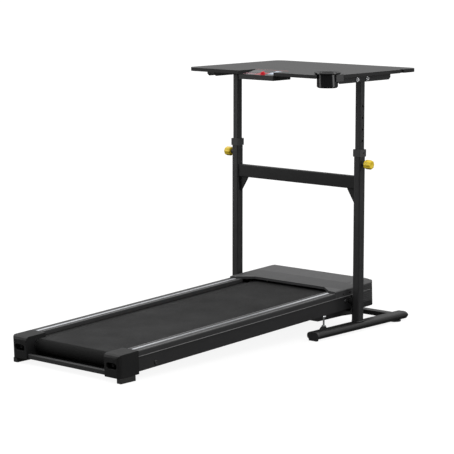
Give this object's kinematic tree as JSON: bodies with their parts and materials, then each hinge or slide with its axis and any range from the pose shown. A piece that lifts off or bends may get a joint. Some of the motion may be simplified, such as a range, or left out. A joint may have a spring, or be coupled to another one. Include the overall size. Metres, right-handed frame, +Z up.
{
  "type": "treadmill desk",
  "caption": "Walking treadmill with a height-adjustable desk on two telescopic uprights, a console, a cup holder and a motor hood.",
  "frame": {"origin": "middle of the footprint, on the floor", "axes": "+Z up, +Y the way the walker faces, +X to the walker's right"},
  "size_m": [0.8352, 1.7882, 1.142],
  "materials": {
    "black_paint": "satin powder coat",
    "black_plastic": "fine moulded texture",
    "grey_plastic": "moulded",
    "gloss_black": "polished",
    "button_plastic": "printed",
    "red_plastic": "moulded",
    "yellow_plastic": "moulded",
    "desk_laminate": "dark grey laminate",
    "board_fibre": "waxed",
    "belt_rubber": "woven texture",
    "rubber": "matt",
    "chrome": "bright",
    "bright_aluminium": "ribbed",
    "roller_steel": "turned"
  },
  "bodies": {
    "base": {"belly_pan": "black_plastic", "collar_left": "black_plastic", "collar_right": "black_plastic", "crossbar": "black_paint", "deck_frame": "black_paint", "drive_belt": "rubber", "floor_cap_front_left": "black_plastic", "floor_cap_front_right": "black_plastic", "floor_cap_rear_left": "black_plastic", "floor_cap_rear_right": "black_plastic", "floor_tube_left": "black_paint", "floor_tube_right": "black_paint", "foot_strip_left": "bright_aluminium", "foot_strip_right": "bright_aluminium", "front_cross_tube": "black_paint", "motor": "black_paint", "motor_hood": "black_plastic", "outer_upright_left": "black_paint", "outer_upright_right": "black_paint", "rear_axle": "roller_steel", "rear_beam": "grey_plastic", "rear_cap_left": "grey_plastic", "rear_cap_right": "grey_plastic", "rear_foot_left": "rubber", "rear_foot_right": "rubber", "running_board": "board_fibre", "side_rail_left": "black_plastic", "side_rail_right": "black_plastic", "walking_belt": "belt_rubber"},
    "desk": {"inner_upright_left": "black_paint", "desk_arm_left": "black_paint", "arm_bolt_left_1": "chrome", "arm_bolt_left_2": "chrome", "inner_upright_right": "black_paint", "desk_arm_right": "black_paint", "arm_bolt_right_1": "chrome", "arm_bolt_right_2": "chrome", "desk_top": "desk_laminate", "cup_holder": "gloss_black", "console_housing": "black_plastic", "console_faceplate": "gloss_black", "display_lens": "gloss_black"},
    "lock_pin_left_body": {"lock_pin_left": "chrome"},
    "lock_knob_left_body": {"lock_knob_left": "yellow_plastic"},
    "levelling_foot_left_body": {"levelling_foot_left": "rubber"},
    "deck_pin_left_body": {"deck_pin_left": "chrome"},
    "tension_bolt_left_body": {"tension_bolt_left": "chrome"},
    "lock_pin_right_body": {"lock_pin_right": "chrome"},
    "lock_knob_right_body": {"lock_knob_right": "yellow_plastic"},
    "levelling_foot_right_body": {"levelling_foot_right": "rubber"},
    "deck_pin_right_body": {"deck_pin_right": "chrome"},
    "tension_bolt_right_body": {"tension_bolt_right": "chrome"},
    "start_button_body": {"start_button": "button_plastic"},
    "stop_button_body": {"stop_button": "button_plastic"},
    "speed_down_button_body": {"speed_down_button": "button_plastic"},
    "speed_up_button_body": {"speed_up_button": "button_plastic"},
    "safety_key_body": {"safety_key": "red_plastic"},
    "front_roller_body": {"front_roller": "roller_steel"},
    "rear_roller_body": {"rear_roller": "roller_steel"},
    "motor_shaft_body": {"motor_shaft": "roller_steel"}
  },
  "joints": [
    {"name": "desk_height", "type": "slide", "parent": "base", "child": "desk", "axis": [0, 0, 1], "range_m": [-0.25, 0.15]},
    {"name": "lock_pin_left_pull", "type": "slide", "parent": "base", "child": "lock_pin_left_body", "axis": [-1, 0, 0], "range_m": [0, 0.01], "stiffness_N_per_m": 1000, "springref_m": -0.004},
    {"name": "lock_knob_left_turn", "type": "hinge", "parent": "lock_pin_left_body", "child": "lock_knob_left_body", "pos_m": [-0.4006, 0.54509, 0.732], "axis": [-1, 0, 0], "continuous": true},
    {"name": "levelling_foot_left_turn", "type": "hinge", "parent": "base", "child": "levelling_foot_left_body", "pos_m": [-0.35, 0.81309, 0.002], "axis": [0, 0, 1], "continuous": true},
    {"name": "deck_pin_left_lift", "type": "slide", "parent": "base", "child": "deck_pin_left_body", "axis": [0, 0, 1], "range_m": [0, 0.04]},
    {"name": "tension_bolt_left_turn", "type": "hinge", "parent": "base", "child": "tension_bolt_left_body", "pos_m": [-0.2605, -0.87878, 0.06823], "axis": [0, 0.9991, 0.0422], "continuous": true},
    {"name": "lock_pin_right_pull", "type": "slide", "parent": "base", "child": "lock_pin_right_body", "axis": [1, 0, 0], "range_m": [0, 0.01], "stiffness_N_per_m": 1000, "springref_m": -0.004},
    {"name": "lock_knob_right_turn", "type": "hinge", "parent": "lock_pin_right_body", "child": "lock_knob_right_body", "pos_m": [0.4006, 0.54509, 0.732], "axis": [1, 0, 0], "continuous": true},
    {"name": "levelling_foot_right_turn", "type": "hinge", "parent": "base", "child": "levelling_foot_right_body", "pos_m": [0.35, 0.81309, 0.002], "axis": [0, 0, 1], "continuous": true},
    {"name": "deck_pin_right_lift", "type": "slide", "parent": "base", "child": "deck_pin_right_body", "axis": [0, 0, 1], "range_m": [0, 0.04]},
    {"name": "tension_bolt_right_turn", "type": "hinge", "parent": "base", "child": "tension_bolt_right_body", "pos_m": [0.2605, -0.87878, 0.06823], "axis": [0, 0.9991, 0.0422], "continuous": true},
    {"name": "front_roller_spin", "type": "hinge", "parent": "base", "child": "front_roller_body", "pos_m": [0, 0.51797, 0.12726], "axis": [1, 0, 0], "continuous": true},
    {"name": "rear_roller_spin", "type": "hinge", "parent": "base", "child": "rear_roller_body", "pos_m": [0, -0.81784, 0.07081], "axis": [1, 0, 0], "continuous": true},
    {"name": "motor_spin", "type": "hinge", "parent": "base", "child": "motor_shaft_body", "pos_m": [-0.135, 0.6336, 0.13845], "axis": [1, 0, 0], "continuous": true},
    {"name": "start_button_press", "type": "slide", "parent": "desk", "child": "start_button_body", "axis": [0, 0.127, -0.9919], "range_m": [0, 0.001], "stiffness_N_per_m": 350, "springref_m": -0.0005},
    {"name": "stop_button_press", "type": "slide", "parent": "desk", "child": "stop_button_body", "axis": [0, 0.127, -0.9919], "range_m": [0, 0.001], "stiffness_N_per_m": 350, "springref_m": -0.0005},
    {"name": "speed_down_button_press", "type": "slide", "parent": "desk", "child": "speed_down_button_body", "axis": [0, 0.127, -0.9919], "range_m": [0, 0.001], "stiffness_N_per_m": 350, "springref_m": -0.0005},
    {"name": "speed_up_button_press", "type": "slide", "parent": "desk", "child": "speed_up_button_body", "axis": [0, 0.127, -0.9919], "range_m": [0, 0.001], "stiffness_N_per_m": 350, "springref_m": -0.0005},
    {"name": "safety_key_pull", "type": "slide", "parent": "desk", "child": "safety_key_body", "axis": [0, -0.127, 0.9919], "range_m": [0, 0.01]}
  ],
  "couplings": [
    {"joint": "rear_roller_spin", "follows": "front_roller_spin", "ratio": 1},
    {"joint": "motor_spin", "follows": "front_roller_spin", "ratio": 1.9494}
  ]
}
